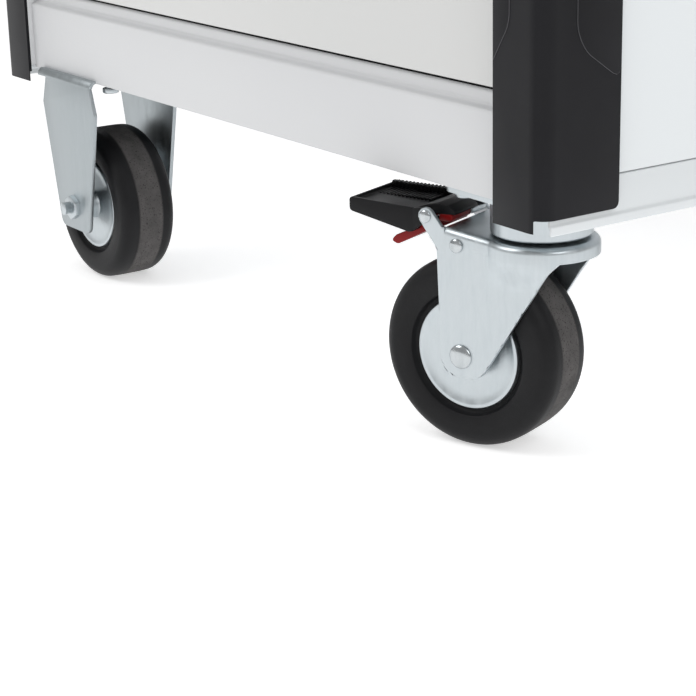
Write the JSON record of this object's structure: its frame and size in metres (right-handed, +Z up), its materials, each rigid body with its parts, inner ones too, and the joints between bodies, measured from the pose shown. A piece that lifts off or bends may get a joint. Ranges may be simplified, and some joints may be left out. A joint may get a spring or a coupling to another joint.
{
  "type": "workbench with drawers",
  "caption": "Mobile steel workbench with full-width drawers, wooden top, corner bumpers, fixed castors and braked swivel castors.",
  "frame": {"origin": "on the floor, under the middle of the overall box, push handle included", "axes": "+Z up, drawers open towards -Y, push handle and swivel castors at +X"},
  "size_m": [0.7735, 0.5824, 0.9528],
  "materials": {
    "painted_steel_light": "gloss powder coat",
    "painted_steel_white": "gloss powder coat",
    "tray_steel": "satin powder coat",
    "bumper_plastic": "satin moulded",
    "beech": "oiled",
    "zinc_steel": "bright zinc plate",
    "zinc_hub": "bright zinc plate",
    "tyre_rubber": "moulded, dusty tread",
    "pedal_plastic": "moulded",
    "lever_plastic": "moulded",
    "lock_chrome": "polished",
    "key_steel": "nickel plate",
    "handle_steel": "satin powder coat",
    "cast_bracket": "satin cast"
  },
  "bodies": {
    "cabinet": {"base_pan": "painted_steel_light", "front_sill": "painted_steel_light", "side_panel_left": "painted_steel_white", "side_rail_left": "painted_steel_white", "side_panel_right": "painted_steel_white", "side_rail_right": "painted_steel_white", "back_panel": "painted_steel_light", "corner_posts": "painted_steel_light", "bumper_front_left": "bumper_plastic", "bumper_front_right": "bumper_plastic", "bumper_rear_left": "bumper_plastic", "bumper_rear_right": "bumper_plastic", "top_frame": "painted_steel_light", "worktop": "beech", "slide_outers": "zinc_steel", "castor_bolts": "zinc_steel", "lock_housing": "lock_chrome", "push_handle": "handle_steel", "handle_brackets": "cast_bracket", "fixed_fork_front": "zinc_steel", "swivel_plate_front": "zinc_steel", "fixed_fork_rear": "zinc_steel", "swivel_plate_rear": "zinc_steel", "fixed_axles": "zinc_steel"},
    "drawer_1": {"drawer_front_1": "painted_steel_light", "drawer_tray_1": "tray_steel", "slide_inner_1": "zinc_steel"},
    "drawer_2": {"drawer_front_2": "painted_steel_light", "drawer_tray_2": "tray_steel", "slide_inner_2": "zinc_steel"},
    "drawer_3": {"drawer_front_3": "painted_steel_light", "drawer_tray_3": "tray_steel", "slide_inner_3": "zinc_steel"},
    "drawer_4": {"drawer_front_4": "painted_steel_light", "drawer_tray_4": "tray_steel", "slide_inner_4": "zinc_steel"},
    "drawer_5": {"drawer_front_5": "painted_steel_light", "drawer_tray_5": "tray_steel", "slide_inner_5": "zinc_steel"},
    "fixed_wheel_front": {"fixed_tyre_front": "tyre_rubber", "fixed_hub_front": "zinc_hub"},
    "swivel_front": {"swivel_fork_front": "zinc_steel", "fork_pins_front": "zinc_steel"},
    "swivel_wheel_front": {"swivel_tyre_front": "tyre_rubber", "swivel_hub_front": "zinc_hub"},
    "pedal_front": {"brake_pedal_front": "pedal_plastic"},
    "lever_front": {"release_lever_front": "lever_plastic"},
    "shoe_front": {"brake_shoe_front": "zinc_steel"},
    "fixed_wheel_rear": {"fixed_tyre_rear": "tyre_rubber", "fixed_hub_rear": "zinc_hub"},
    "swivel_rear": {"swivel_fork_rear": "zinc_steel", "fork_pins_rear": "zinc_steel"},
    "swivel_wheel_rear": {"swivel_tyre_rear": "tyre_rubber", "swivel_hub_rear": "zinc_hub"},
    "pedal_rear": {"brake_pedal_rear": "pedal_plastic"},
    "lever_rear": {"release_lever_rear": "lever_plastic"},
    "shoe_rear": {"brake_shoe_rear": "zinc_steel"},
    "key": {"key": "key_steel", "lock_shaft": "zinc_steel"},
    "locking_bar": {"locking_bar": "zinc_steel"}
  },
  "joints": [
    {"name": "drawer_slide_1", "type": "slide", "parent": "cabinet", "child": "drawer_1", "axis": [0, -1, 0], "range_m": [0, 0.38]},
    {"name": "drawer_slide_2", "type": "slide", "parent": "cabinet", "child": "drawer_2", "axis": [0, -1, 0], "range_m": [0, 0.38]},
    {"name": "drawer_slide_3", "type": "slide", "parent": "cabinet", "child": "drawer_3", "axis": [0, -1, 0], "range_m": [0, 0.38]},
    {"name": "drawer_slide_4", "type": "slide", "parent": "cabinet", "child": "drawer_4", "axis": [0, -1, 0], "range_m": [0, 0.38]},
    {"name": "drawer_slide_5", "type": "slide", "parent": "cabinet", "child": "drawer_5", "axis": [0, -1, 0], "range_m": [0, 0.38]},
    {"name": "fixed_wheel_roll_front", "type": "hinge", "parent": "cabinet", "child": "fixed_wheel_front", "pos_m": [-0.26955, -0.2348, 0.0625], "axis": [0, 1, 0], "continuous": true},
    {"name": "swivel_turn_front", "type": "hinge", "parent": "cabinet", "child": "swivel_front", "pos_m": [0.27055, -0.2233, 0.1405], "axis": [0, 0, 1], "continuous": true},
    {"name": "swivel_wheel_roll_front", "type": "hinge", "parent": "swivel_front", "child": "swivel_wheel_front", "pos_m": [0.23245, -0.23761, 0.0625], "axis": [0.3515, -0.9362, 0], "continuous": true},
    {"name": "pedal_press_front", "type": "hinge", "parent": "swivel_front", "child": "pedal_front", "pos_m": [0.20858, -0.24657, 0.15], "axis": [0.3515, -0.9362, 0], "range_deg": [0, 12]},
    {"name": "lever_lift_front", "type": "hinge", "parent": "swivel_front", "child": "lever_front", "pos_m": [0.20858, -0.24657, 0.15], "axis": [0.3515, -0.9362, 0], "range_deg": [-6, 0]},
    {"name": "shoe_drop_front", "type": "hinge", "parent": "swivel_front", "child": "shoe_front", "pos_m": [0.22964, -0.23866, 0.1325], "axis": [0.3515, -0.9362, 0], "range_deg": [0, 5]},
    {"name": "fixed_wheel_roll_rear", "type": "hinge", "parent": "cabinet", "child": "fixed_wheel_rear", "pos_m": [-0.26955, 0.2348, 0.0625], "axis": [0, 1, 0], "continuous": true},
    {"name": "swivel_turn_rear", "type": "hinge", "parent": "cabinet", "child": "swivel_rear", "pos_m": [0.27055, 0.2233, 0.1405], "axis": [0, 0, 1], "continuous": true},
    {"name": "swivel_wheel_roll_rear", "type": "hinge", "parent": "swivel_rear", "child": "swivel_wheel_rear", "pos_m": [0.23245, 0.23761, 0.0625], "axis": [-0.3515, -0.9362, 0], "continuous": true},
    {"name": "pedal_press_rear", "type": "hinge", "parent": "swivel_rear", "child": "pedal_rear", "pos_m": [0.20858, 0.24657, 0.15], "axis": [-0.3515, -0.9362, 0], "range_deg": [0, 12]},
    {"name": "lever_lift_rear", "type": "hinge", "parent": "swivel_rear", "child": "lever_rear", "pos_m": [0.20858, 0.24657, 0.15], "axis": [-0.3515, -0.9362, 0], "range_deg": [-6, 0]},
    {"name": "shoe_drop_rear", "type": "hinge", "parent": "swivel_rear", "child": "shoe_rear", "pos_m": [0.22964, 0.23866, 0.1325], "axis": [-0.3515, -0.9362, 0], "range_deg": [0, 5]},
    {"name": "key_turn", "type": "hinge", "parent": "cabinet", "child": "key", "pos_m": [-0.02675, -0.269, 0.9008], "axis": [0, -1, 0], "range_deg": [0, 90]},
    {"name": "bar_lift", "type": "slide", "parent": "cabinet", "child": "locking_bar", "axis": [0, 0, 1], "range_m": [0, 0.01]}
  ],
  "couplings": [
    {"joint": "lever_lift_front", "follows": "pedal_press_front", "ratio": -0.5},
    {"joint": "shoe_drop_front", "follows": "pedal_press_front", "ratio": 0.4},
    {"joint": "lever_lift_rear", "follows": "pedal_press_rear", "ratio": -0.5},
    {"joint": "shoe_drop_rear", "follows": "pedal_press_rear", "ratio": 0.4},
    {"joint": "bar_lift", "follows": "key_turn", "m_per_rad": 0.0063344}
  ]
}
